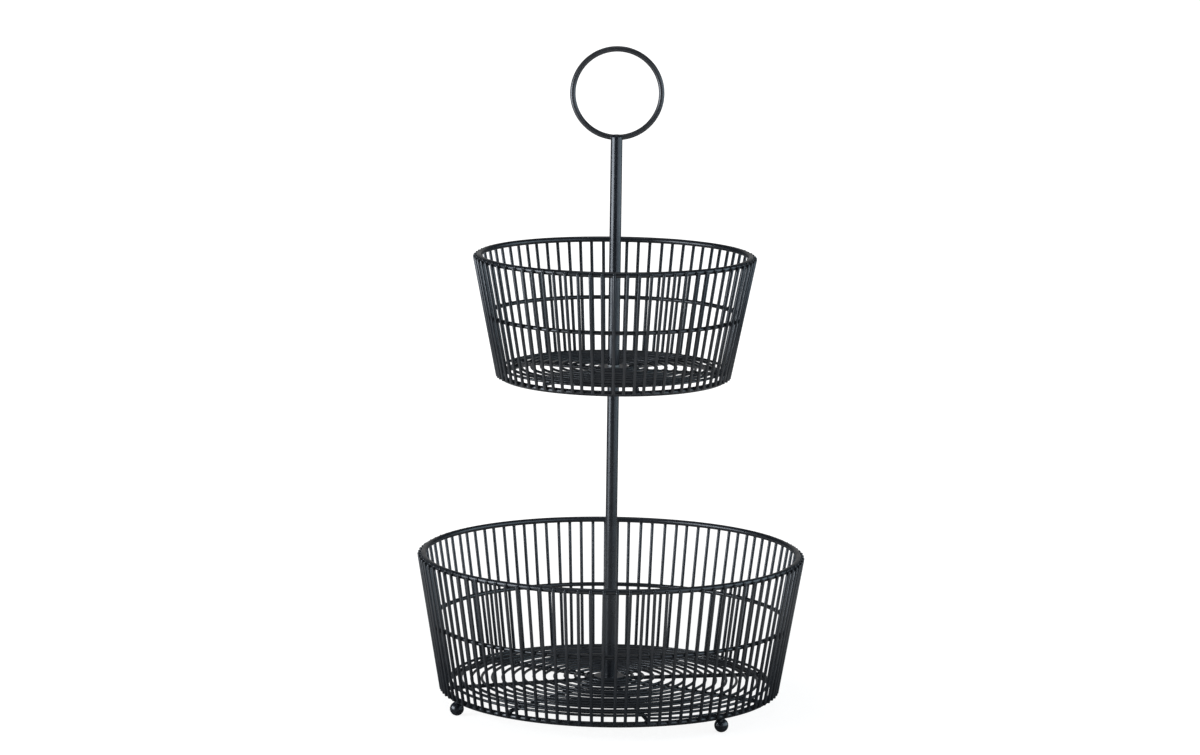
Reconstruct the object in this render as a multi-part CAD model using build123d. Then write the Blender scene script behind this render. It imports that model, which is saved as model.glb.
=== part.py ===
"""Two-tier wire fruit basket: welded wire baskets on a screwed stem with a ring handle.

Lengths are in millimetres and angles in degrees. The origin is on the table under the stem, +Z is up
and -Y is the front.
"""

import math
import os

from build123d import *

# Wire and rod diameters
RIM_WIRE_D = 4.4
BASE_WIRE_D = 4.3
MID_WIRE_D = 3.2
SPOKE_WIRE_D = 2.5
FLOOR_WIRE_D = 2.1
BAR_WIRE_D = 3.0
HANDLE_WIRE_D = 4.4
STEM_D = 9.2

# Space left at each weld, and between the faces that turn on each other
WELD_GAP = 0.02
TURN_GAP = 0.05

# Lower basket: radii are to the wire's centre, rises are above the centre of its base ring
LOWER_RIM_R = 147.8
LOWER_BASE_R = 129.6
LOWER_RIM_RISE = 107.2
LOWER_MID_RISE = 54.7
LOWER_HUB_RISE = 8.6  # to the hub disc's underside
LOWER_FLOOR_EDGE_GAP = 4.2  # from the base ring's radius in to the outer floor ring's
LOWER_FLOOR_RINGS = 14
LOWER_SPOKES = 96
LOWER_SPOKE_START = 0.5  # in spoke spacings from the +X axis
LOWER_BAR_ANGLES = (17, 58, 100, 142, 192, 234, 283, 333)
LOWER_BRACE_ANGLES = (283, 333)  # the bars joined by the brace wire

# Upper basket
UPPER_RIM_R = 106.3
UPPER_BASE_R = 87.4
UPPER_RIM_RISE = 94.2
UPPER_MID_RISE = 48.4
UPPER_HUB_RISE = 6.5
UPPER_FLOOR_EDGE_GAP = 0.3
UPPER_FLOOR_RINGS = 10
UPPER_SPOKES = 72
UPPER_SPOKE_START = 0.0
UPPER_BAR_ANGLES = (354, 45, 98, 152, 233, 282)
UPPER_BASKET_RISE = 249.7  # from base ring to base ring

# Spokes: how far they pass the rim ring's and the base ring's centres, and their ends' rounding
SPOKE_TOP_RISE = 0.6
SPOKE_LOW_DROP = 1.2
SPOKE_END_ROUND = 0.7

# Hub discs, on top of the support bars' inner ends, and the bars, on top of the base rings
HUB_DISC_D = 24.5
HUB_DISC_T = 1.2
HUB_DISC_ROUND = 0.4
BAR_HUB_GAP = 2.0  # from the stem's side to the bars' inner ends
BAR_END_LAP = 1.2  # how far they pass the base ring's radius
FLOOR_HUB_GAP = 6.5  # from the disc's edge to the first floor ring's centre

# Brace wire: inward from the base ring's radius, at its ends and where it lies on the ring
BRACE_WIRE_D = 2.1
BRACE_END_GAP = 3.4
BRACE_MID_GAP = 1.6

# Ring handle and the stem's top
HANDLE_R = 34.5
HANDLE_RISE = 222.1  # ring centre above the upper base ring's centre
STEM_TIP_ROUND = 2.2
STEM_END_CHAMFER = 0.3

# Ball feet under the lower base ring, at angles from the +X axis
FOOT_D = 11.0
FOOT_FLAT = 0.2
FOOT_SINK = 0.6  # how far the base ring is let into a ball
FOOT_ANGLES = {"left": 203.7, "right": 312.2, "back": 78.0}

# Stud, screw and washers
THREAD_D = 5.0
THREAD_CLEARANCE = 0.05  # radial
THREAD_CHAMFER = 0.5
STUD_LIFT = 9.8  # thread held by the upper stem, and so its travel until it is free
STUD_SET = 12.0
SCREW_SET = 10.0
HOLE_END_GAP = 0.8
CLAMP_WASHER_D = 10.0
CLAMP_WASHER_T = 1.0
BASE_WASHER_LAP = 1.6  # how far it reaches under the bars
BASE_WASHER_T = 1.2
SCREW_HEAD_D = 9.5
SCREW_HEAD_T = 2.75
SCREW_HEAD_ROUND = 1.4
SOCKET_ACROSS_FLATS = 3.0
SOCKET_DEPTH = 1.5

# Worked out from the sizes above
FOOT_Z = FOOT_D / 2 - FOOT_FLAT
LOWER_BASE_Z = FOOT_Z + FOOT_D / 2 + BASE_WIRE_D / 2 - FOOT_SINK
UPPER_BASE_Z = LOWER_BASE_Z + UPPER_BASKET_RISE
BAR_START_R = STEM_D / 2 + BAR_HUB_GAP
THREAD_HOLE_R = THREAD_D / 2 + THREAD_CLEARANCE
LOW_END = (Align.CENTER, Align.CENTER, Align.MIN)
HIGH_END = (Align.CENTER, Align.CENTER, Align.MAX)


class Basket:
    """The places that one basket's wires take from each other."""

    def __init__(self, name, base_z, base_r, rim_r, rim_rise, mid_rise, hub_rise, edge_gap):
        self.name = name
        self.base_z = base_z
        self.base_r = base_r
        self.rim_r = rim_r
        self.rim_z = base_z + rim_rise
        self.mid_z = base_z + mid_rise
        self.floor_r = base_r - edge_gap
        self.disc_z = base_z + hub_rise

        # The spokes are tangent to the rim ring and the base ring, outside both
        base_seat = seat(BASE_WIRE_D)
        rise = self.rim_z - base_z
        spread = rim_r - base_r
        turn = math.asin((seat(RIM_WIRE_D) - base_seat) / math.hypot(rise, spread))
        self.lean = math.atan2(spread, rise) + turn
        self.spoke_r = base_r + base_seat * math.cos(self.lean)
        self.spoke_z = base_z - base_seat * math.sin(self.lean)
        self.mid_r = self.spoke_r_at(self.mid_z) - seat(MID_WIRE_D) / math.cos(self.lean)

        # The bars run from the hub disc's underside down to the base ring's top
        self.bar_top_z = self.disc_z - BAR_WIRE_D / 2 - WELD_GAP
        self.bar_end_r = base_r + BAR_END_LAP
        bar_seat = (BASE_WIRE_D + BAR_WIRE_D) / 2 + WELD_GAP
        drop = self.bar_top_z - base_z
        run = base_r - BAR_START_R
        self.bar_slope = math.atan2(drop, run) - math.asin(bar_seat / math.hypot(drop, run))

    def spoke_r_at(self, z):
        """Radius of the spokes' centre lines at a height."""
        return self.spoke_r + (z - self.spoke_z) * math.tan(self.lean)

    def bar_z_at(self, radius):
        """Height of the bars' centre lines at a radius."""
        return self.bar_top_z - (radius - BAR_START_R) * math.tan(self.bar_slope)

    def floor_z_at(self, radius):
        """Height of a floor ring that lies on the bars."""
        rest = (BAR_WIRE_D + FLOOR_WIRE_D) / 2 + WELD_GAP
        return self.bar_z_at(radius) + rest / math.cos(self.bar_slope)


def seat(wire_d):
    """Distance from a ring wire's centre to the centre of a spoke welded on it."""
    return (wire_d + SPOKE_WIRE_D) / 2 + WELD_GAP


def save(name, shape):
    """Write one node."""
    shape.label = name
    export_step(shape, f"parts/{name}.step")


def hoop(radius, wire_d, z):
    """A level ring of wire round the stem."""
    return Pos(0, 0, z) * Torus(radius, wire_d / 2)


def rod_between(start, end, wire_d):
    """A straight round wire from one point to another."""
    run = end - start
    return Plane(origin=start, z_dir=run) * Cylinder(wire_d / 2, run.length, align=LOW_END)


def around(shape, angles):
    """Copies of a shape, turned about the stem."""
    return [Rot(0, 0, angle) * shape for angle in angles]


def spokes(basket, count, start):
    """All spokes of one basket, as separate solids."""
    low_z = basket.base_z - SPOKE_LOW_DROP
    high_z = basket.rim_z + SPOKE_TOP_RISE
    low = Vector(basket.spoke_r_at(low_z), 0, low_z)
    high = Vector(basket.spoke_r_at(high_z), 0, high_z)
    spoke = rod_between(low, high, SPOKE_WIRE_D)
    spoke = fillet(spoke.edges().filter_by(GeomType.CIRCLE), SPOKE_END_ROUND)
    step = 360 / count
    return Compound(around(spoke, [(start + n) * step for n in range(count)]))


def floor_rings(basket, count):
    """The floor's rings, evenly spaced from the hub to the outer one."""
    first_r = HUB_DISC_D / 2 + FLOOR_HUB_GAP
    pitch = (basket.floor_r - first_r) / (count - 1)
    radii = [first_r + n * pitch for n in range(count)]
    return [hoop(radius, FLOOR_WIRE_D, basket.floor_z_at(radius)) for radius in radii]


def support_bars(basket, angles):
    """Straight bars under the floor, from the hub out over the base ring."""
    inner = Vector(BAR_START_R, 0, basket.bar_top_z)
    outer = Vector(basket.bar_end_r, 0, basket.bar_z_at(basket.bar_end_r))
    return around(rod_between(inner, outer, BAR_WIRE_D), angles)


def brace_wire(basket, first_angle, last_angle):
    """A bent wire from one bar's end to the next, which lies on the base ring between them."""
    end_r = basket.base_r - BRACE_END_GAP
    end_z = basket.bar_z_at(end_r)
    end_turn = math.degrees((BAR_WIRE_D / 2 + WELD_GAP) / end_r)
    ring_seat = (BASE_WIRE_D + BRACE_WIRE_D) / 2 + WELD_GAP
    mid_r = basket.base_r - BRACE_MID_GAP
    mid_z = basket.base_z + math.sqrt(ring_seat**2 - BRACE_MID_GAP**2)
    start = Vector(end_r, 0, end_z).rotate(Axis.Z, first_angle + end_turn)
    middle = Vector(mid_r, 0, mid_z).rotate(Axis.Z, (first_angle + last_angle) / 2)
    end = Vector(end_r, 0, end_z).rotate(Axis.Z, last_angle - end_turn)
    path = Edge.make_three_point_arc(start, middle, end)
    section = Plane(origin=path @ 0, z_dir=path % 0) * Circle(BRACE_WIRE_D / 2)
    return sweep(section, path=path)


def hub_disc(basket):
    """The pierced disc that closes the floor's middle."""
    disc = Cylinder(HUB_DISC_D / 2, HUB_DISC_T, align=LOW_END)
    disc = fillet(disc.edges().group_by(Axis.Z)[-1], HUB_DISC_ROUND)
    disc -= Cylinder(THREAD_HOLE_R, HUB_DISC_T, align=LOW_END)
    return Pos(0, 0, basket.disc_z) * disc


def washer(outer_r, thickness, z):
    """A flat washer with its underside at z."""
    body = Cylinder(outer_r, thickness, align=LOW_END)
    return Pos(0, 0, z) * (body - Cylinder(THREAD_HOLE_R, thickness, align=LOW_END))


def thread_rod(low_z, high_z):
    """The plain body of a threaded rod, chamfered at both ends."""
    rod = Cylinder(THREAD_D / 2, high_z - low_z, align=LOW_END)
    rod = chamfer(rod.edges().filter_by(GeomType.CIRCLE), THREAD_CHAMFER)
    return Pos(0, 0, low_z) * rod


def stem_rod(low_z, high_z):
    """A stem section with lightly chamfered ends."""
    rod = Cylinder(STEM_D / 2, high_z - low_z, align=LOW_END)
    rod = chamfer(rod.edges().filter_by(GeomType.CIRCLE), STEM_END_CHAMFER)
    return Pos(0, 0, low_z) * rod


def blind_hole(mouth_z, depth, align):
    """The room of a threaded hole that opens at mouth_z."""
    return Pos(0, 0, mouth_z) * Cylinder(THREAD_HOLE_R, depth + HOLE_END_GAP, align=align)


def handle_loop(centre_z, wire_d):
    """An upright ring that faces the front."""
    return Pos(0, 0, centre_z) * Rot(90, 0, 0) * Torus(HANDLE_R, wire_d / 2)


def upper_stem(low_z, handle_z):
    """The stem above the upper basket, slotted at its round top for the ring handle."""
    slot_z = handle_z - HANDLE_R
    slot_w = HANDLE_WIRE_D + 2 * WELD_GAP
    top_z = slot_z + HANDLE_WIRE_D / 2
    rod = Cylinder(STEM_D / 2, top_z - low_z, align=LOW_END)
    rod = fillet(rod.edges().group_by(Axis.Z)[-1], STEM_TIP_ROUND)
    rod = chamfer(rod.edges().group_by(Axis.Z)[0], STEM_END_CHAMFER)
    rod = Pos(0, 0, low_z) * rod
    rod -= Pos(0, 0, slot_z) * Box(2 * STEM_D, slot_w, HANDLE_WIRE_D, align=LOW_END)
    rod -= handle_loop(handle_z, slot_w)
    return rod - blind_hole(low_z, STUD_LIFT, LOW_END)


def base_screw(washer_z, tip_z):
    """Button-head screw, put in from beneath."""
    head = Cylinder(SCREW_HEAD_D / 2, SCREW_HEAD_T, align=HIGH_END)
    head = fillet(head.edges().group_by(Axis.Z)[0], SCREW_HEAD_ROUND)
    flats = RegularPolygon(SOCKET_ACROSS_FLATS / 2, 6, major_radius=False)
    head -= Pos(0, 0, -SCREW_HEAD_T) * extrude(flats, SOCKET_DEPTH)
    shank = Cylinder(THREAD_D / 2, tip_z - washer_z, align=LOW_END)
    shank = chamfer(shank.edges().group_by(Axis.Z)[-1], THREAD_CHAMFER)
    return Pos(0, 0, washer_z) * (head + shank)


def foot(basket, angle):
    """A ball foot under the base ring, flat where it stands."""
    ball = Pos(basket.base_r, 0, FOOT_Z) * Sphere(FOOT_D / 2)
    ball -= Pos(basket.base_r, 0, 0) * Box(FOOT_D, FOOT_D, FOOT_D, align=HIGH_END)
    ball -= hoop(basket.base_r, BASE_WIRE_D + 2 * WELD_GAP, basket.base_z)
    return Rot(0, 0, angle) * ball


def save_basket(basket, spoke_count, spoke_start, ring_count, bar_angles):
    """Write every node of one basket."""
    name = basket.name
    save(f"{name}_rim_ring", hoop(basket.rim_r, RIM_WIRE_D, basket.rim_z))
    save(f"{name}_mid_ring", hoop(basket.mid_r, MID_WIRE_D, basket.mid_z))
    save(f"{name}_base_ring", hoop(basket.base_r, BASE_WIRE_D, basket.base_z))
    save(f"{name}_spokes", spokes(basket, spoke_count, spoke_start))
    save(f"{name}_hub_disc", hub_disc(basket))
    for n, ring in enumerate(floor_rings(basket, ring_count), 1):
        save(f"{name}_floor_ring_{n:02d}", ring)
    for n, bar in enumerate(support_bars(basket, bar_angles), 1):
        save(f"{name}_support_bar_{n}", bar)


def save_stem(lower, upper):
    """Write the stems, the ring handle and what fastens them."""
    lower_stem_z = lower.disc_z + HUB_DISC_T
    clamp_washer_z = upper.disc_z + HUB_DISC_T + TURN_GAP
    upper_stem_z = clamp_washer_z + CLAMP_WASHER_T + TURN_GAP
    handle_z = upper.base_z + HANDLE_RISE

    stem = stem_rod(lower_stem_z, upper.disc_z)
    stem -= blind_hole(lower_stem_z, SCREW_SET, LOW_END)
    stem -= blind_hole(upper.disc_z, STUD_SET, HIGH_END)
    save("lower_stem", stem)
    save("stem_stud", thread_rod(upper.disc_z - STUD_SET, upper_stem_z + STUD_LIFT))
    save("clamp_washer", washer(CLAMP_WASHER_D / 2, CLAMP_WASHER_T, clamp_washer_z))
    save("upper_stem", upper_stem(upper_stem_z, handle_z))
    save("ring_handle", handle_loop(handle_z, HANDLE_WIRE_D))

    # The base washer bears on the bars' undersides at its edge
    base_washer_r = BAR_START_R + BASE_WASHER_LAP
    under_bars = BAR_WIRE_D / 2 / math.cos(lower.bar_slope) + WELD_GAP
    base_washer_z = lower.bar_z_at(base_washer_r) - under_bars - BASE_WASHER_T
    save("base_washer", washer(base_washer_r, BASE_WASHER_T, base_washer_z))
    save("base_screw", base_screw(base_washer_z - WELD_GAP, lower_stem_z + SCREW_SET))


def main():
    os.makedirs("parts", exist_ok=True)
    lower = Basket("lower", LOWER_BASE_Z, LOWER_BASE_R, LOWER_RIM_R, LOWER_RIM_RISE,
                   LOWER_MID_RISE, LOWER_HUB_RISE, LOWER_FLOOR_EDGE_GAP)
    upper = Basket("upper", UPPER_BASE_Z, UPPER_BASE_R, UPPER_RIM_R, UPPER_RIM_RISE,
                   UPPER_MID_RISE, UPPER_HUB_RISE, UPPER_FLOOR_EDGE_GAP)
    save_basket(lower, LOWER_SPOKES, LOWER_SPOKE_START, LOWER_FLOOR_RINGS, LOWER_BAR_ANGLES)
    save_basket(upper, UPPER_SPOKES, UPPER_SPOKE_START, UPPER_FLOOR_RINGS, UPPER_BAR_ANGLES)
    save("lower_brace_wire", brace_wire(lower, *LOWER_BRACE_ANGLES))
    save_stem(lower, upper)
    for place, angle in FOOT_ANGLES.items():
        save(f"foot_{place}", foot(lower, angle))


main()
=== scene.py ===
"""Looks of the two-tier wire basket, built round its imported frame.

Lengths are in metres, and named angles are in degrees but for the camera's, which are in radians.
The origin is on the table under the stem, +Z is up and -Y is the front.
"""

import math
import random

import bpy
from mathutils import Matrix, Vector


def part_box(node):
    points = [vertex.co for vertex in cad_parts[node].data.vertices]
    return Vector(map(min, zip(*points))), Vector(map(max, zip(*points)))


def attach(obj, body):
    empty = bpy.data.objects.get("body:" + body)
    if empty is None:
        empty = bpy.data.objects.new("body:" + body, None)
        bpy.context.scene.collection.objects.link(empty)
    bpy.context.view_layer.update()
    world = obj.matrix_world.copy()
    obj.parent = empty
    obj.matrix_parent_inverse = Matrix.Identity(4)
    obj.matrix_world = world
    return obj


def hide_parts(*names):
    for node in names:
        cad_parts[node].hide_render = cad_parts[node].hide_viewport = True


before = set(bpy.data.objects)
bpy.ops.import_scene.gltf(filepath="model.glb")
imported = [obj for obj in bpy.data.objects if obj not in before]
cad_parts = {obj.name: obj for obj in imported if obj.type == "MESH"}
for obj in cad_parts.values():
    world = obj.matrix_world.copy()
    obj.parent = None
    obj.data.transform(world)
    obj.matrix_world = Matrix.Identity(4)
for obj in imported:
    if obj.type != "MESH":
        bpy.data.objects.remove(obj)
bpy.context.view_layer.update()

MM = 0.001

# Camera, as the photograph was taken
CAMERA_DISTANCE = 3.668
CAMERA_HEIGHT = 0.84545
CAMERA_PITCH = 0.15814
CAMERA_YAW = -0.00285
CAMERA_ROLL = 0.01337
CAMERA_LENS_MM = 142.18
CAMERA_SENSOR_MM = 36.0
CAMERA_CLIP_END = 100.0

# Wires, as the part has them
SPOKE_R = 2.5 * MM / 2
SPOKE_END_ROUND = 0.7 * MM
SPOKE_TOP_RISE = 0.6 * MM
WELD_GAP = 0.02 * MM
BAR_R = 3.0 * MM / 2
BAR_HUB_GAP = 2.0 * MM
BAR_END_LAP = 1.2 * MM
BRACE_R = 2.1 * MM / 2
BRACE_END_GAP = 3.4 * MM
BRACE_MID_GAP = 1.6 * MM
BRACE_ANGLES = (283, 333)
SPOKE_COUNT = {"lower": 96, "upper": 72}
SPOKE_START_SHARES = {"lower": 0.5, "upper": 0.0}
BAR_ANGLES = {
    "lower": (17, 58, 100, 142, 192, 234, 283, 333),
    "upper": (354, 45, 98, 152, 233, 282),
}
FOOT_NAMES = ("foot_left", "foot_right", "foot_back")

# What the coat adds to a wire's radius, and how the coated wires end
COAT_FILM = 0.06 * MM
SPOKE_LOW_DROP = 0.5 * MM
BAR_END_ROUND = 0.35 * MM

# Hand-made unevenness; the floor's tilt is a slope
SPOKE_TURN_SPREAD = 0.25
SPOKE_TIP_SPREAD = 0.25 * MM
FLOOR_LIFT = 0.3 * MM
FLOOR_TILT = 0.003
RING_WAVE = 0.12 * MM
RING_WAVE_COUNT = 3

# The ground seam where a hoop's ends are joined, and where it lies on each ring
SEAM_HALF = 1.6 * MM
SEAM_FALL = 2
SEAM_SWELL_SHARE = 0.03
SEAM_STATION_SHARES = (-1, -0.5, 0, 0.5, 1)
RIM_SEAM_ANGLE = 63
MID_SEAM_ANGLE = 121
BASE_SEAM_ANGLE = 95
FLOOR_SEAM_ANGLE = 40
FLOOR_SEAM_TURN = 137.5
HANDLE_SEAM_ANGLE = -90

# Weld beads: half lengths along the ring, along the other wire, and across both, and by what shares they vary
SPOKE_WELD = (1.25 * MM, 1.5 * MM, 0.75 * MM)
FLOOR_WELD = (1.3 * MM, 1.6 * MM, 0.6 * MM)
BAR_WELD = (2.0 * MM, 2.3 * MM, 0.8 * MM)
HUB_WELD = (1.9 * MM, 2.2 * MM, 0.5 * MM)
HUB_WELD_INSET = 2.6 * MM
FOOT_WELD = (3.0 * MM, 2.5 * MM, 0.9 * MM)
FOOT_WELD_SINK = 0.5 * MM
HANDLE_WELD = (1.0 * MM, 2.35 * MM, 2.1 * MM)
HANDLE_WELD_REACH_SHARE = 0.93
SPOKE_WELD_SHARES = (0.88, 1.12)
FLOOR_WELD_SHARES = (0.85, 1.15)

# Mesh fineness: sides of a wire, sides and bands of a bead, steps along a wire and bands of its rounded end
SIDES_HANDLE = 24
SIDES_THICK = 20
SIDES_THIN = 12
SMALL_BEAD = (10, 6)
BAR_BEAD = (14, 8)
HANDLE_BEAD = (16, 10)
FOOT_BEAD = (20, 8)
STEP_LENGTH = 2.6 * MM
LEAST_STEPS = 36
END_BANDS = 3
SHARP_ANGLE = 50

# Powder coats: dark and light colour, low and high roughness, orange peel's scale and strength
COAT_IOR = 1.59
COATS = {
    "wire_coat": ((0.0077, 0.0087, 0.0109), (0.0115, 0.0131, 0.016), (0.27, 0.37), 900.0, 0.25),
    "handle_coat": ((0.0218, 0.0212, 0.0224), (0.0295, 0.0288, 0.0301), (0.27, 0.37), 900.0, 0.25),
    "weld_coat": ((0.007, 0.0079, 0.0103), (0.0109, 0.0124, 0.0154), (0.3, 0.45), 1500.0, 0.5),
    "stem_coat": ((0.0077, 0.0087, 0.0109), (0.0109, 0.0124, 0.0154), (0.25, 0.33), 700.0, 0.2),
    "foot_coat": ((0.007, 0.0079, 0.0103), (0.0103, 0.0115, 0.0147), (0.2, 0.28), 700.0, 0.12),
}

# Orange peel's depth, its noise's detail and roughness, and how much of the coat the brighter flecks take
PEEL_DEPTH = 0.06 * MM
PEEL_GRAIN = (2.0, 0.5)
FLECK_SHARES = (0.0, 0.22)
FLECK_EDGE = (0.55, 0.75)
FLECK_GAIN = 2.2

# Rubbed undersides of the ball feet, with the heights over which the rubbing fades
WEAR_HEIGHT = (0.02 * MM, 0.55 * MM)
SCRATCH_EDGE = (0.42, 0.6)
WORN_COLOUR = (0.11, 0.11, 0.115)
WORN_ROUGHNESS = 0.4

# Zinc plate: its bloom, and the fine rings that turning left
ZINC_COLOURS = ((0.4, 0.405, 0.41), (0.47, 0.46, 0.44))
ZINC_BLOOM_EDGE = (0.35, 0.65)
ZINC_ROUGHNESS = (0.42, 0.58)
TURNING_SCALE = 1400.0
TURNING_BEND = 1.2
TURNING_DETAIL = 2.0
TURNING_STRENGTH = 0.2
TURNING_DEPTH = 0.02 * MM

# Noise: scale to a metre, detail and roughness, and the range that most of its values lie in
CLOUD_NOISE = (45.0, 3.0, 0.5)
FLECK_NOISE = (2600.0, 2.0, 0.7)
RUB_NOISE = (90.0, 4.0, 0.6)
SCRATCH_NOISE = (1500.0, 5.0, 0.8)
BLOOM_NOISE = (260.0, 2.0, 0.5)
PAPER_NOISE = (30.0, 3.0, 0.5)
NOISE_EDGE = (0.3, 0.7)

# World: the light on the object, and what gloss shows, which is dark before the object and pale behind it.
# The room's edge is how far towards +Y a direction points where the dark ends and where it is palest.
WHITE = (1.0, 1.0, 1.0)
WORLD_COLOUR = (0.88, 0.94, 1.0)
WORLD_FILL = 0.39
ROOM_DARK = (0.016, 0.02, 0.023)
ROOM_LIGHT = 0.39
ROOM_EDGE = (0.8, 1.0)

# Floor: its mesh and its paper
FLOOR_RADII = (0.6, 1.6, 5.0, 60.0)
FLOOR_SIDES = 48
FLOOR_LIGHT = 1.2
PAPER_COLOURS = ((0.89, 0.85, 0.8), (0.92, 0.88, 0.83))

# The floor's whiteness in gloss, by distance from the stem: painted shade keeps it dark under the basket, it
# grows outwards from there, and it ends further out
GLOSS_SHADE_UNDER_SHARES = (0.04, 0.55)
GLOSS_SHADE_UNDER_EDGE = (0.13, 0.38)
GLOSS_FLOOR_EDGE = (0.6, 0.9)

# The share of lit paper, with its shadow, that shows under the basket, and the distances over which it fades
SHADOW_SHARE = 0.28
SHADOW_EDGE = (0.3, 0.75)

# Upright soft boxes: turn to the left of the camera, distance, low and high edge, half width as an angle,
# radiance and colour
COOL = (0.82, 0.9, 1.0)
COOLER = (0.7, 0.83, 1.0)
COOLEST = (0.68, 0.86, 1.0)
PANELS = {
    "key_left": (68, 1.1, 0.12, 0.62, 24, 8.2, COOL),
    "key_foot": (66, 1.1, 0.0, 0.12, 12, 8.6, COOL),
    "fill_front": (-42, 1.3, 0.0, 0.9, 14, 2.03, COOLER),
    "fill_side": (-86, 1.3, 0.0, 0.9, 29, 2.34, COOLEST),
}
TOP_HEIGHT = 2.4
TOP_SIZE = (1.4, 1.4)
TOP_RADIANCE = 1.0
TOP_COLOUR = (0.9, 0.95, 1.0)

ORIGIN = Vector((0, 0, 0))
UP = Vector((0, 0, 1))
RIGHT = Vector((1, 0, 0))
AWAY = Vector((0, 1, 0))

random.seed(7)


class Shape:
    """Points and faces gathered for one piece."""

    def __init__(self):
        self.points = []
        self.faces = []

    def loops(self, loops, closed=False):
        """A skin through loops of equally many points, capped unless it closes on itself."""
        first = len(self.points)
        sides = len(loops[0])
        for loop in loops:
            self.points.extend(loop)
        spans = len(loops) if closed else len(loops) - 1
        for i in range(spans):
            here = first + i * sides
            there = first + (i + 1) % len(loops) * sides
            for j in range(sides):
                k = (j + 1) % sides
                self.faces.append((here + j, here + k, there + k, there + j))
        if not closed:
            last = first + (len(loops) - 1) * sides
            self.faces.append(tuple(first + j for j in reversed(range(sides))))
            self.faces.append(tuple(last + j for j in range(sides)))

    def bead(self, centre, axes, fineness=SMALL_BEAD):
        """A rounded blob with three half axes, of so many sides and bands."""
        sides, bands = fineness
        loops = []
        for i in range(bands):
            tilt = math.pi * (i + 0.5) / bands
            loops.append([
                centre + axes[0] * math.sin(tilt) * math.cos(turn)
                + axes[1] * math.sin(tilt) * math.sin(turn) + axes[2] * math.cos(tilt)
                for turn in circle(sides)
            ])
        self.loops(loops)

    def piece(self, name, material, body, replaced=()):
        """The finished object, smooth but for its flat ends, riding on its body."""
        mesh = bpy.data.meshes.new(name)
        mesh.from_pydata(self.points, [], self.faces)
        mesh.validate()
        mesh.shade_smooth()
        mesh.set_sharp_from_angle(angle=math.radians(SHARP_ANGLE))
        mesh.materials.append(material)
        made = bpy.data.objects.new(name, mesh)
        bpy.context.scene.collection.objects.link(made)
        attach(made, body)
        if replaced:
            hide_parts(*replaced)


def circle(count):
    """Evenly spaced angles of a full turn."""
    return [2 * math.pi * n / count for n in range(count)]


def outward(angle):
    """The level direction that leads away from the stem at an angle."""
    return Vector((math.cos(angle), math.sin(angle), 0))


def along(angle):
    """The level direction that leads round the stem at an angle."""
    return Vector((-math.sin(angle), math.cos(angle), 0))


class Ring:
    """Centre radius, height and wire radius of a level ring, read from its node."""

    def __init__(self, node):
        low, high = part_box(node)
        self.node = node
        self.wire_r = (high.z - low.z) / 2
        self.radius = (high.x - low.x) / 2 - self.wire_r
        self.z = (high.z + low.z) / 2


def hoop(shape, centre, plane, radius, wire_r, sides, seam_angle):
    """A ring of wire in a plane, slightly uneven, with its ground seam."""
    across, upward = plane
    normal = across.cross(upward)
    steps = max(LEAST_STEPS, round(2 * math.pi * radius / STEP_LENGTH))
    seam_half = SEAM_HALF / radius
    angles = circle(steps) + [seam_angle + seam_half * share for share in SEAM_STATION_SHARES]
    phase = random.uniform(0, 2 * math.pi)
    loops = []
    for angle in sorted(a % (2 * math.pi) for a in angles):
        off = (angle - seam_angle + math.pi) % (2 * math.pi) - math.pi
        seam = math.exp(-(off / seam_half * SEAM_FALL) ** 2)
        thick = wire_r * (1 + SEAM_SWELL_SHARE * seam)
        wave = RING_WAVE * min(math.sin(RING_WAVE_COUNT * angle + phase), 0)
        out = across * math.cos(angle) + upward * math.sin(angle)
        middle = centre + out * radius + normal * wave
        loops.append([
            middle + out * thick * math.cos(turn) + normal * thick * math.sin(turn)
            for turn in circle(sides)
        ])
    shape.loops(loops, closed=True)


def rod(shape, start, end, wire_r, end_round, sides):
    """A straight wire with rounded ends."""
    run = (end - start).normalized()
    side = run.orthogonal().normalized()
    other = run.cross(side)
    profile = []
    for n in range(END_BANDS + 1):
        tilt = math.pi / 2 * n / END_BANDS
        profile.append((end_round * (1 - math.cos(tilt)), wire_r - end_round * (1 - math.sin(tilt))))
    stations = [(start + run * off, r) for off, r in profile]
    stations += [(end - run * off, r) for off, r in reversed(profile)]
    shape.loops([
        [middle + (side * math.cos(turn) + other * math.sin(turn)) * r for turn in circle(sides)]
        for middle, r in stations
    ])


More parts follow.
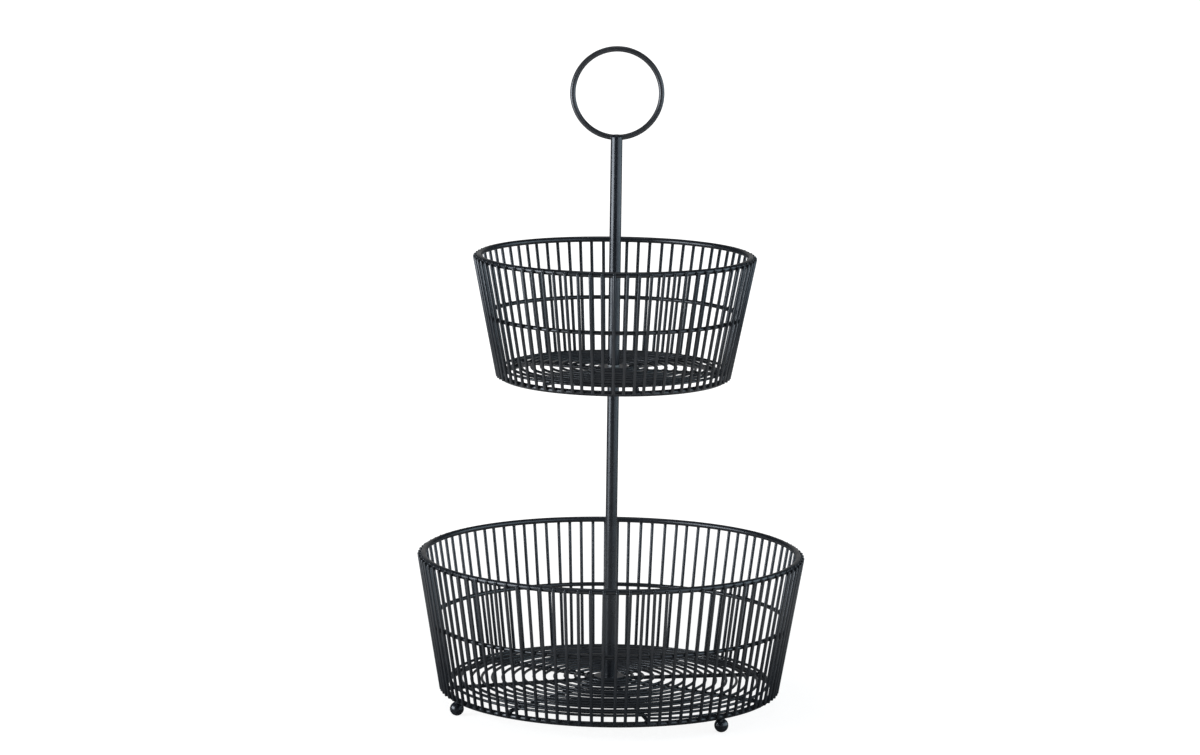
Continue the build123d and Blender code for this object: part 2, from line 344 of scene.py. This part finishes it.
class Tier:
    """The places of one basket's wires, worked out from its rings."""

    def __init__(self, name):
        self.name = name
        self.rim = Ring(f"{name}_rim_ring")
        self.mid = Ring(f"{name}_mid_ring")
        self.base = Ring(f"{name}_base_ring")
        self.floor = [Ring(node) for node in sorted(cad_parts) if node.startswith(f"{name}_floor_ring")]

        # The spokes are tangent to the rim ring and the base ring, outside both
        base_seat = self.base.wire_r + SPOKE_R + WELD_GAP
        rim_seat = self.rim.wire_r + SPOKE_R + WELD_GAP
        rise = self.rim.z - self.base.z
        spread = self.rim.radius - self.base.radius
        turn = math.asin((rim_seat - base_seat) / math.hypot(rise, spread))
        self.lean = math.atan2(spread, rise) + turn
        self.spoke_r = self.base.radius + base_seat * math.cos(self.lean)
        self.spoke_z = self.base.z - base_seat * math.sin(self.lean)

        # The bars run from the hub disc's underside out over the base ring
        disc_low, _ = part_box(f"{name}_hub_disc")
        stem_low, stem_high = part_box("lower_stem")
        self.bar_start_r = (stem_high.x - stem_low.x) / 2 + BAR_HUB_GAP
        self.bar_top_z = disc_low.z - BAR_R - WELD_GAP
        self.bar_end_r = self.base.radius + BAR_END_LAP
        drop = self.bar_top_z - self.base.z
        run = self.base.radius - self.bar_start_r
        bar_seat = self.base.wire_r + BAR_R + WELD_GAP
        self.bar_slope = math.tan(math.atan2(drop, run) - math.asin(bar_seat / math.hypot(drop, run)))

    def spoke_r_at(self, z):
        """How far from the stem a spoke's centre line is at a height."""
        return self.spoke_r + (z - self.spoke_z) * math.tan(self.lean)

    def bar_z_at(self, radius):
        """The height of a bar's centre line at a distance from the stem."""
        return self.bar_top_z - (radius - self.bar_start_r) * self.bar_slope

    def spoke_angles(self):
        """The places of the spokes round the stem, in radians."""
        step = 2 * math.pi / SPOKE_COUNT[self.name]
        return [(SPOKE_START_SHARES[self.name] + n) * step for n in range(SPOKE_COUNT[self.name])]

    def bar_angles(self):
        """The places of the bars round the stem, in radians."""
        return [math.radians(a) for a in BAR_ANGLES[self.name]]


def level_ring(ring, sides, material, seam_angle, lift=0.0, tilt=0.0):
    """One ring of a basket, in place of its node; the seam's angle is in degrees."""
    shape = Shape()
    centre = UP * (ring.z + random.uniform(-1, 1) * lift)
    across = (RIGHT + UP * random.uniform(-1, 1) * tilt).normalized()
    onward = (AWAY + UP * random.uniform(-1, 1) * tilt).normalized()
    coated_r = ring.wire_r + COAT_FILM
    hoop(shape, centre, (across, onward), ring.radius, coated_r, sides, math.radians(seam_angle))
    shape.piece(ring.node.replace("ring", "wire"), material, "frame", [ring.node])


def uneven(sizes, shares):
    """Sizes that each vary by a random share."""
    return [size * random.uniform(*shares) for size in sizes]


def spokes(tier, material, weld_material):
    """All spokes of a basket and their welds on its three wider rings."""
    wires = Shape()
    welds = Shape()
    low_z = tier.base.z - SPOKE_LOW_DROP
    high_z = tier.rim.z + SPOKE_TOP_RISE
    slant = Vector((math.sin(tier.lean), 0, math.cos(tier.lean)))
    for angle in tier.spoke_angles():
        low_turn = angle + math.radians(random.uniform(-1, 1) * SPOKE_TURN_SPREAD)
        high_turn = angle + math.radians(random.uniform(-1, 1) * SPOKE_TURN_SPREAD)
        start_z = low_z + random.uniform(0, 1) * SPOKE_TIP_SPREAD
        end_z = high_z - random.uniform(0, 1) * SPOKE_TIP_SPREAD
        start = outward(low_turn) * tier.spoke_r_at(start_z) + UP * start_z
        end = outward(high_turn) * tier.spoke_r_at(end_z) + UP * end_z
        rod(wires, start, end, SPOKE_R + COAT_FILM, SPOKE_END_ROUND, SIDES_THIN)
        for ring in (tier.rim, tier.mid, tier.base):
            share = (ring.z - start.z) / (end.z - start.z)
            middle = start.lerp(end, share)
            here = math.atan2(middle.y, middle.x)
            lift = outward(here) * slant.x + UP * slant.z
            facing = outward(here) * slant.z - UP * slant.x
            ring_half, spoke_half, thick = uneven(SPOKE_WELD, SPOKE_WELD_SHARES)
            contact = middle - facing * (SPOKE_R + WELD_GAP / 2)
            welds.bead(contact, (along(here) * ring_half, lift * spoke_half, facing * thick))
    wires.piece(f"{tier.name}_spoke_wires", material, "frame", [f"{tier.name}_spokes"])
    welds.piece(f"{tier.name}_spoke_welds", weld_material, "frame")


def support_bars(tier, material, weld_material):
    """The bars under the floor, and the welds at their ends and under each floor ring."""
    floor_welds = Shape()
    bar_welds = Shape()
    for n, angle in enumerate(tier.bar_angles(), 1):
        out = outward(angle)
        start = out * tier.bar_start_r + UP * tier.bar_top_z
        end = out * tier.bar_end_r + UP * tier.bar_z_at(tier.bar_end_r)
        bar = Shape()
        rod(bar, start, end, BAR_R + COAT_FILM, BAR_END_ROUND, SIDES_THICK)
        bar.piece(f"{tier.name}_bar_wire_{n}", material, "frame",
                  [f"{tier.name}_support_bar_{n}"])
        for ring in tier.floor:
            under = (ring.z - ring.wire_r + tier.bar_z_at(ring.radius) + BAR_R) / 2
            ring_half, bar_half, thick = uneven(FLOOR_WELD, FLOOR_WELD_SHARES)
            floor_welds.bead(out * ring.radius + UP * under,
                             (along(angle) * ring_half, out * bar_half, UP * thick))
        ring_half, bar_half, thick = BAR_WELD
        on_ring = (tier.base.z + tier.base.wire_r + tier.bar_z_at(tier.base.radius) - BAR_R) / 2
        bar_welds.bead(out * tier.base.radius + UP * on_ring,
                       (along(angle) * ring_half, out * bar_half, UP * thick), BAR_BEAD)
        ring_half, bar_half, thick = HUB_WELD
        bar_welds.bead(out * (tier.bar_start_r + HUB_WELD_INSET) + UP * (tier.bar_top_z + BAR_R),
                       (along(angle) * ring_half, out * bar_half, UP * thick), BAR_BEAD)
    floor_welds.piece(f"{tier.name}_floor_welds", weld_material, "frame")
    bar_welds.piece(f"{tier.name}_bar_welds", weld_material, "frame")


def brace(tier, material):
    """The bent wire from one bar's end to the next, which lies on the base ring between them."""
    end_r = tier.base.radius - BRACE_END_GAP
    end_turn = (BAR_R + WELD_GAP) / end_r
    seat = tier.base.wire_r + BRACE_R + WELD_GAP
    first, last = (math.radians(angle) for angle in BRACE_ANGLES)
    start = outward(first + end_turn) * end_r + UP * tier.bar_z_at(end_r)
    end = outward(last - end_turn) * end_r + UP * tier.bar_z_at(end_r)
    middle = outward((first + last) / 2) * (tier.base.radius - BRACE_MID_GAP)
    middle += UP * (tier.base.z + math.sqrt(seat ** 2 - BRACE_MID_GAP ** 2))

    # The circle through the three points
    there = middle - start
    far = end - start
    normal = there.cross(far)
    reach = normal.cross(there) * far.length_squared + far.cross(normal) * there.length_squared
    centre = start + reach / (2 * normal.length_squared)
    normal.normalize()
    radius = (start - centre).length
    across = (start - centre) / radius
    onward = normal.cross(across)
    whole = math.atan2((end - centre).dot(onward), (end - centre).dot(across))
    steps = round(whole * radius / STEP_LENGTH)
    shape = Shape()
    loops = []
    for n in range(steps + 1):
        turn = whole * n / steps
        out = across * math.cos(turn) + onward * math.sin(turn)
        loops.append([
            centre + out * (radius + BRACE_R * math.cos(side)) + normal * BRACE_R * math.sin(side)
            for side in circle(SIDES_THIN)
        ])
    shape.loops(loops)
    shape.piece(f"{tier.name}_brace_bend", material, "frame", [f"{tier.name}_brace_wire"])


def ring_handle(material):
    """The upright ring, and the filled joints where it leaves the stem's slot."""
    low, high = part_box("ring_handle")
    wire_r = (high.y - low.y) / 2
    radius = (high.x - low.x) / 2 - wire_r
    centre = (low + high) / 2
    ring = Shape()
    hoop(ring, centre, (RIGHT, UP), radius, wire_r, SIDES_HANDLE, math.radians(HANDLE_SEAM_ANGLE))
    ring.piece("handle_ring_wire", material, "handle", ["ring_handle"])

    stem_low, stem_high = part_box("upper_stem")
    stem_r = (stem_high.x - stem_low.x) / 2
    joints = Shape()
    for side in (-1, 1):
        reach = stem_r * HANDLE_WELD_REACH_SHARE
        turn = math.asin(reach / radius)
        out = RIGHT * side * math.sin(turn) - UP * math.cos(turn)
        run = RIGHT * side * math.cos(turn) + UP * math.sin(turn)
        run_half, across, thick = HANDLE_WELD
        joints.bead(centre + out * radius, (run * run_half, AWAY * across, out * thick), HANDLE_BEAD)
    joints.piece("handle_braze", material, "handle")


def foot_welds(tier, material):
    """The weld between each ball foot and the base ring."""
    shape = Shape()
    for node in FOOT_NAMES:
        low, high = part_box(node)
        middle = (low + high) / 2
        angle = math.atan2(middle.y, middle.x)
        ring_half, across, thick = FOOT_WELD
        shape.bead(outward(angle) * tier.base.radius + UP * (high.z - FOOT_WELD_SINK),
                   (along(angle) * ring_half, outward(angle) * across, UP * thick), FOOT_BEAD)
    shape.piece("foot_weld_beads", material, "frame")


def new_material(name):
    """A new material, its node tree and its shader."""
    material = bpy.data.materials.new(name)
    material.use_nodes = True
    return material, material.node_tree, material.node_tree.nodes["Principled BSDF"]


def add(tree, kind, **values):
    """A node with its properties and sockets set."""
    node = tree.nodes.new(kind)
    for key, value in values.items():
        if hasattr(node, key):
            setattr(node, key, value)
        else:
            node.inputs[key.replace("_", " ")].default_value = value
    return node


def noise(tree, scale, detail, roughness):
    """Noise over the object's own coordinates."""
    place = add(tree, "ShaderNodeTexCoord")
    made = add(tree, "ShaderNodeTexNoise", Scale=scale, Detail=detail, Roughness=roughness)
    tree.links.new(place.outputs["Object"], made.inputs["Vector"])
    return made.outputs["Fac"]


def spread(tree, value, low, high, start=NOISE_EDGE[0], end=NOISE_EDGE[1]):
    """A value moved from one range, that of plain noise unless given, to another."""
    made = add(tree, "ShaderNodeMapRange")
    made.inputs["From Min"].default_value = start
    made.inputs["From Max"].default_value = end
    made.inputs["To Min"].default_value = low
    made.inputs["To Max"].default_value = high
    tree.links.new(value, made.inputs["Value"])
    return made.outputs["Result"]


def combined(tree, operation, first, second):
    """The outcome of one operation on two values."""
    made = add(tree, "ShaderNodeMath", operation=operation)
    tree.links.new(first, made.inputs[0])
    tree.links.new(second, made.inputs[1])
    return made.outputs[0]


def mixed(tree, share, first, second):
    """A shader between two, by a share from 0 to 1."""
    made = add(tree, "ShaderNodeMixShader")
    for socket, value in zip(made.inputs, (share, first, second)):
        tree.links.new(value, socket)
    return made.outputs[0]


def blended(tree, share, low, high):
    """A colour between two, by a share from 0 to 1; each is three numbers or another node's output."""
    made = add(tree, "ShaderNodeMix", data_type="RGBA")
    colours = [s for s in made.inputs if s.type == "RGBA"]
    for colour_socket, colour in zip(colours, (low, high)):
        if hasattr(colour, "links"):
            tree.links.new(colour, colour_socket)
        else:
            colour_socket.default_value = (*colour, 1)
    tree.links.new(share, made.inputs["Factor"])
    return next(s for s in made.outputs if s.type == "RGBA")


def powder_coat(name):
    """Baked powder coat: faint orange peel, cloudy tone and fine flecks."""
    dark, light, roughness, peel_scale, peel_strength = COATS[name]
    material, tree, shader = new_material(name)
    clouds = spread(tree, noise(tree, *CLOUD_NOISE), 0.0, 1.0)
    flecks = spread(tree, noise(tree, *FLECK_NOISE), *FLECK_SHARES, *FLECK_EDGE)
    tone = blended(tree, clouds, dark, light)
    fleck_tone = tuple(channel * FLECK_GAIN for channel in light)
    tree.links.new(blended(tree, flecks, tone, fleck_tone), shader.inputs["Base Color"])
    rubbed = spread(tree, noise(tree, *RUB_NOISE), *roughness)
    tree.links.new(rubbed, shader.inputs["Roughness"])
    bump = add(tree, "ShaderNodeBump", Strength=peel_strength, Distance=PEEL_DEPTH)
    tree.links.new(noise(tree, peel_scale, *PEEL_GRAIN), bump.inputs["Height"])
    tree.links.new(bump.outputs["Normal"], shader.inputs["Normal"])
    shader.inputs["IOR"].default_value = COAT_IOR
    return material


def foot_coat(name):
    """The same coat on the ball feet, rubbed pale and rough on the faces they stand on."""
    material = powder_coat(name)
    tree = material.node_tree
    shader = tree.nodes["Principled BSDF"]
    place = add(tree, "ShaderNodeTexCoord")
    parts = add(tree, "ShaderNodeSeparateXYZ")
    tree.links.new(place.outputs["Object"], parts.inputs["Vector"])
    near_table = spread(tree, parts.outputs["Z"], 1.0, 0.0, *WEAR_HEIGHT)
    scratches = spread(tree, noise(tree, *SCRATCH_NOISE), 0.0, 1.0, *SCRATCH_EDGE)
    worn = combined(tree, "MULTIPLY", near_table, scratches)
    coat = shader.inputs["Base Color"].links[0].from_socket
    tree.links.new(blended(tree, worn, coat, WORN_COLOUR), shader.inputs["Base Color"])
    rubbed = shader.inputs["Roughness"].links[0].from_socket
    rougher = add(tree, "ShaderNodeMath", operation="MULTIPLY_ADD", use_clamp=True)
    rougher.inputs[1].default_value = WORN_ROUGHNESS
    tree.links.new(worn, rougher.inputs[0])
    tree.links.new(rubbed, rougher.inputs[2])
    tree.links.new(rougher.outputs[0], shader.inputs["Roughness"])
    return material


def zinc(name):
    """Dulled zinc plate: turning marks round the axis and a faint yellow-blue bloom."""
    material, tree, shader = new_material(name)
    bloom = spread(tree, noise(tree, *BLOOM_NOISE), 0.0, 1.0, *ZINC_BLOOM_EDGE)
    tone = blended(tree, bloom, *ZINC_COLOURS)
    tree.links.new(tone, shader.inputs["Base Color"])
    shader.inputs["Metallic"].default_value = 1.0
    place = add(tree, "ShaderNodeTexCoord")
    rings = add(tree, "ShaderNodeTexWave", wave_type="RINGS", rings_direction="Z", Scale=TURNING_SCALE,
                Distortion=TURNING_BEND, Detail=TURNING_DETAIL)
    tree.links.new(place.outputs["Object"], rings.inputs["Vector"])
    turned = spread(tree, rings.outputs["Fac"], *ZINC_ROUGHNESS, 0.0, 1.0)
    tree.links.new(turned, shader.inputs["Roughness"])
    bump = add(tree, "ShaderNodeBump", Strength=TURNING_STRENGTH, Distance=TURNING_DEPTH)
    tree.links.new(rings.outputs["Fac"], bump.inputs["Height"])
    tree.links.new(bump.outputs["Normal"], shader.inputs["Normal"])
    return material


def seen_as_background(tree):
    """1 for the rays that show the background: camera, glossy and transmission rays."""
    path = add(tree, "ShaderNodeLightPath")
    seen = combined(tree, "MAXIMUM", path.outputs["Is Camera Ray"], path.outputs["Is Glossy Ray"])
    return combined(tree, "MAXIMUM", seen, path.outputs["Is Transmission Ray"])


def gloss_aside(tree, gloss):
    """White, but for the rays of gloss, which see another colour."""
    path = add(tree, "ShaderNodeLightPath")
    return blended(tree, path.outputs["Is Glossy Ray"], WHITE, gloss)


def studio_world():
    """White behind the object, and a dark room on the camera's side that only gloss shows."""
    world = bpy.data.worlds.new("studio")
    bpy.context.scene.world = world
    world.use_nodes = True
    tree = world.node_tree
    tree.nodes.clear()
    place = add(tree, "ShaderNodeTexCoord")
    parts = add(tree, "ShaderNodeSeparateXYZ")
    tree.links.new(place.outputs["Generated"], parts.inputs["Vector"])
    behind = spread(tree, parts.outputs["Y"], 0.0, ROOM_LIGHT, *ROOM_EDGE)
    shown = add(tree, "ShaderNodeBackground", Strength=1.0)
    tree.links.new(gloss_aside(tree, blended(tree, behind, ROOM_DARK, WHITE)), shown.inputs["Color"])
    fill = add(tree, "ShaderNodeBackground", Strength=WORLD_FILL)
    fill.inputs["Color"].default_value = (*WORLD_COLOUR, 1)
    mix = mixed(tree, seen_as_background(tree), fill.outputs[0], shown.outputs[0])
    out = add(tree, "ShaderNodeOutputWorld")
    tree.links.new(mix, out.inputs["Surface"])


def floor():
    """A wide pale floor that fades into the white background and keeps the object's soft shadow."""
    mesh = bpy.data.meshes.new("floor")
    points = [ORIGIN]
    faces = []
    for radius in FLOOR_RADII:
        points += [outward(turn) * radius for turn in circle(FLOOR_SIDES)]
    for j in range(FLOOR_SIDES):
        k = (j + 1) % FLOOR_SIDES
        faces.append((0, 1 + j, 1 + k))
        for i in range(len(FLOOR_RADII) - 1):
            inner, outer = 1 + i * FLOOR_SIDES, 1 + (i + 1) * FLOOR_SIDES
            faces.append((inner + j, outer + j, outer + k, inner + k))
    mesh.from_pydata(points, [], faces)
    made = bpy.data.objects.new("floor", mesh)
    bpy.context.scene.collection.objects.link(made)
    mesh.materials.append(pale_floor("pale_floor"))


def pale_floor(name):
    """Paper that shows plain white to the camera, its shadow near the object, and in gloss a painted shade
    under the basket and a dark room.
    """
    material = bpy.data.materials.new(name)
    material.use_nodes = True
    tree = material.node_tree
    tree.nodes.clear()
    place = add(tree, "ShaderNodeTexCoord")
    parts = add(tree, "ShaderNodeSeparateXYZ")
    tree.links.new(place.outputs["Object"], parts.inputs["Vector"])
    length = add(tree, "ShaderNodeVectorMath", operation="LENGTH")
    tree.links.new(place.outputs["Object"], length.inputs[0])
    distance = length.outputs["Value"]
    grain = spread(tree, noise(tree, *PAPER_NOISE), 0.0, 1.0)
    paper = add(tree, "ShaderNodeBsdfDiffuse")
    tree.links.new(blended(tree, grain, *PAPER_COLOURS), paper.inputs["Color"])

    # Gloss shows the white floor only near the object and behind it, darkened under the basket by painted
    # shade
    under = spread(tree, distance, *GLOSS_SHADE_UNDER_SHARES, *GLOSS_SHADE_UNDER_EDGE)
    ahead = spread(tree, distance, 1.0, 0.0, *GLOSS_FLOOR_EDGE)
    near = combined(tree, "MULTIPLY", under, ahead)
    facing = combined(tree, "DIVIDE", parts.outputs["Y"], distance)
    behind = spread(tree, facing, 0.0, ROOM_LIGHT, *ROOM_EDGE)
    lit = combined(tree, "MAXIMUM", near, behind)
    shown = add(tree, "ShaderNodeEmission", Strength=FLOOR_LIGHT)
    tree.links.new(gloss_aside(tree, blended(tree, lit, ROOM_DARK, WHITE)), shown.inputs["Color"])

    # Near the object part of what the camera sees is the lit paper, which carries the shadow
    path = add(tree, "ShaderNodeLightPath")
    white_share = spread(tree, distance, 1 - SHADOW_SHARE, 1.0, *SHADOW_EDGE)
    whole_in_gloss = combined(tree, "MAXIMUM", white_share, path.outputs["Is Glossy Ray"])
    shining = combined(tree, "MULTIPLY", whole_in_gloss, seen_as_background(tree))
    mix = mixed(tree, shining, paper.outputs[0], shown.outputs[0])
    out = add(tree, "ShaderNodeOutputMaterial")
    tree.links.new(mix, out.inputs["Surface"])
    return material


def softbox(name, place, aim, size, radiance, colour):
    """A soft light box of one radiance at a place, facing a point."""
    light = bpy.data.lights.new(name, "AREA")
    light.shape = "RECTANGLE"
    light.size, light.size_y = size
    light.energy = radiance * math.pi * size[0] * size[1]
    light.color = colour
    made = bpy.data.objects.new(name, light)
    bpy.context.scene.collection.objects.link(made)
    made.location = place
    made.rotation_mode = "QUATERNION"
    made.rotation_quaternion = (aim - place).to_track_quat("-Z", "Y")
    made.visible_camera = False


def panel(name, turn, distance, low, high, half_angle, radiance, colour):
    """An upright soft box that faces the stem."""
    side = math.radians(turn)
    place = Vector((-math.sin(side) * distance, -math.cos(side) * distance, (low + high) / 2))
    width = 2 * distance * math.tan(math.radians(half_angle))
    softbox(name, place, Vector((0, 0, place.z)), (width, high - low), radiance, colour)


def camera():
    """The photograph's viewpoint."""
    data = bpy.data.cameras.new("camera")
    data.sensor_width = CAMERA_SENSOR_MM
    data.lens = CAMERA_LENS_MM
    data.clip_end = CAMERA_CLIP_END
    made = bpy.data.objects.new("camera", data)
    bpy.context.scene.collection.objects.link(made)
    yaw, pitch, roll = CAMERA_YAW, CAMERA_PITCH, CAMERA_ROLL
    forward = Vector((math.sin(yaw) * math.cos(pitch), math.cos(yaw) * math.cos(pitch), -math.sin(pitch)))
    level_right = Vector((math.cos(yaw), -math.sin(yaw), 0))
    level_up = level_right.cross(forward)
    right = level_right * math.cos(roll) + level_up * math.sin(roll)
    upward = level_up * math.cos(roll) - level_right * math.sin(roll)
    made.matrix_world = Matrix((
        (right.x, upward.x, -forward.x, 0),
        (right.y, upward.y, -forward.y, -CAMERA_DISTANCE),
        (right.z, upward.z, -forward.z, CAMERA_HEIGHT),
        (0, 0, 0, 1),
    ))
    bpy.context.scene.camera = made


wire_coat = powder_coat("wire_coat")
handle_coat = powder_coat("handle_coat")
weld_coat = powder_coat("weld_coat")
stem_coat = powder_coat("stem_coat")
ball_coat = foot_coat("foot_coat")
zinc_steel = zinc("zinc_steel")

tiers = [Tier("lower"), Tier("upper")]
for tier in tiers:
    level_ring(tier.rim, SIDES_THICK, wire_coat, RIM_SEAM_ANGLE)
    level_ring(tier.mid, SIDES_THICK, wire_coat, MID_SEAM_ANGLE)
    level_ring(tier.base, SIDES_THICK, wire_coat, BASE_SEAM_ANGLE)
    for n, ring in enumerate(tier.floor):
        seam_angle = FLOOR_SEAM_ANGLE + FLOOR_SEAM_TURN * n
        level_ring(ring, SIDES_THIN, wire_coat, seam_angle, FLOOR_LIFT, FLOOR_TILT)
    spokes(tier, wire_coat, weld_coat)
    support_bars(tier, wire_coat, weld_coat)
brace(tiers[0], wire_coat)
ring_handle(handle_coat)
foot_welds(tiers[0], weld_coat)

for node, material in (
    ("lower_hub_disc", wire_coat), ("upper_hub_disc", wire_coat),
    ("lower_stem", stem_coat), ("upper_stem", stem_coat),
    ("stem_stud", zinc_steel), ("clamp_washer", zinc_steel),
    ("base_washer", zinc_steel), ("base_screw", zinc_steel),
    *((node, ball_coat) for node in FOOT_NAMES),
):
    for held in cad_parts[node].material_slots:
        held.material = material

studio_world()
floor()
for name, setting in PANELS.items():
    panel(name, *setting)
softbox("top", UP * TOP_HEIGHT, ORIGIN, TOP_SIZE, TOP_RADIANCE, TOP_COLOUR)
camera()

bpy.context.scene.view_settings.view_transform = "Standard"
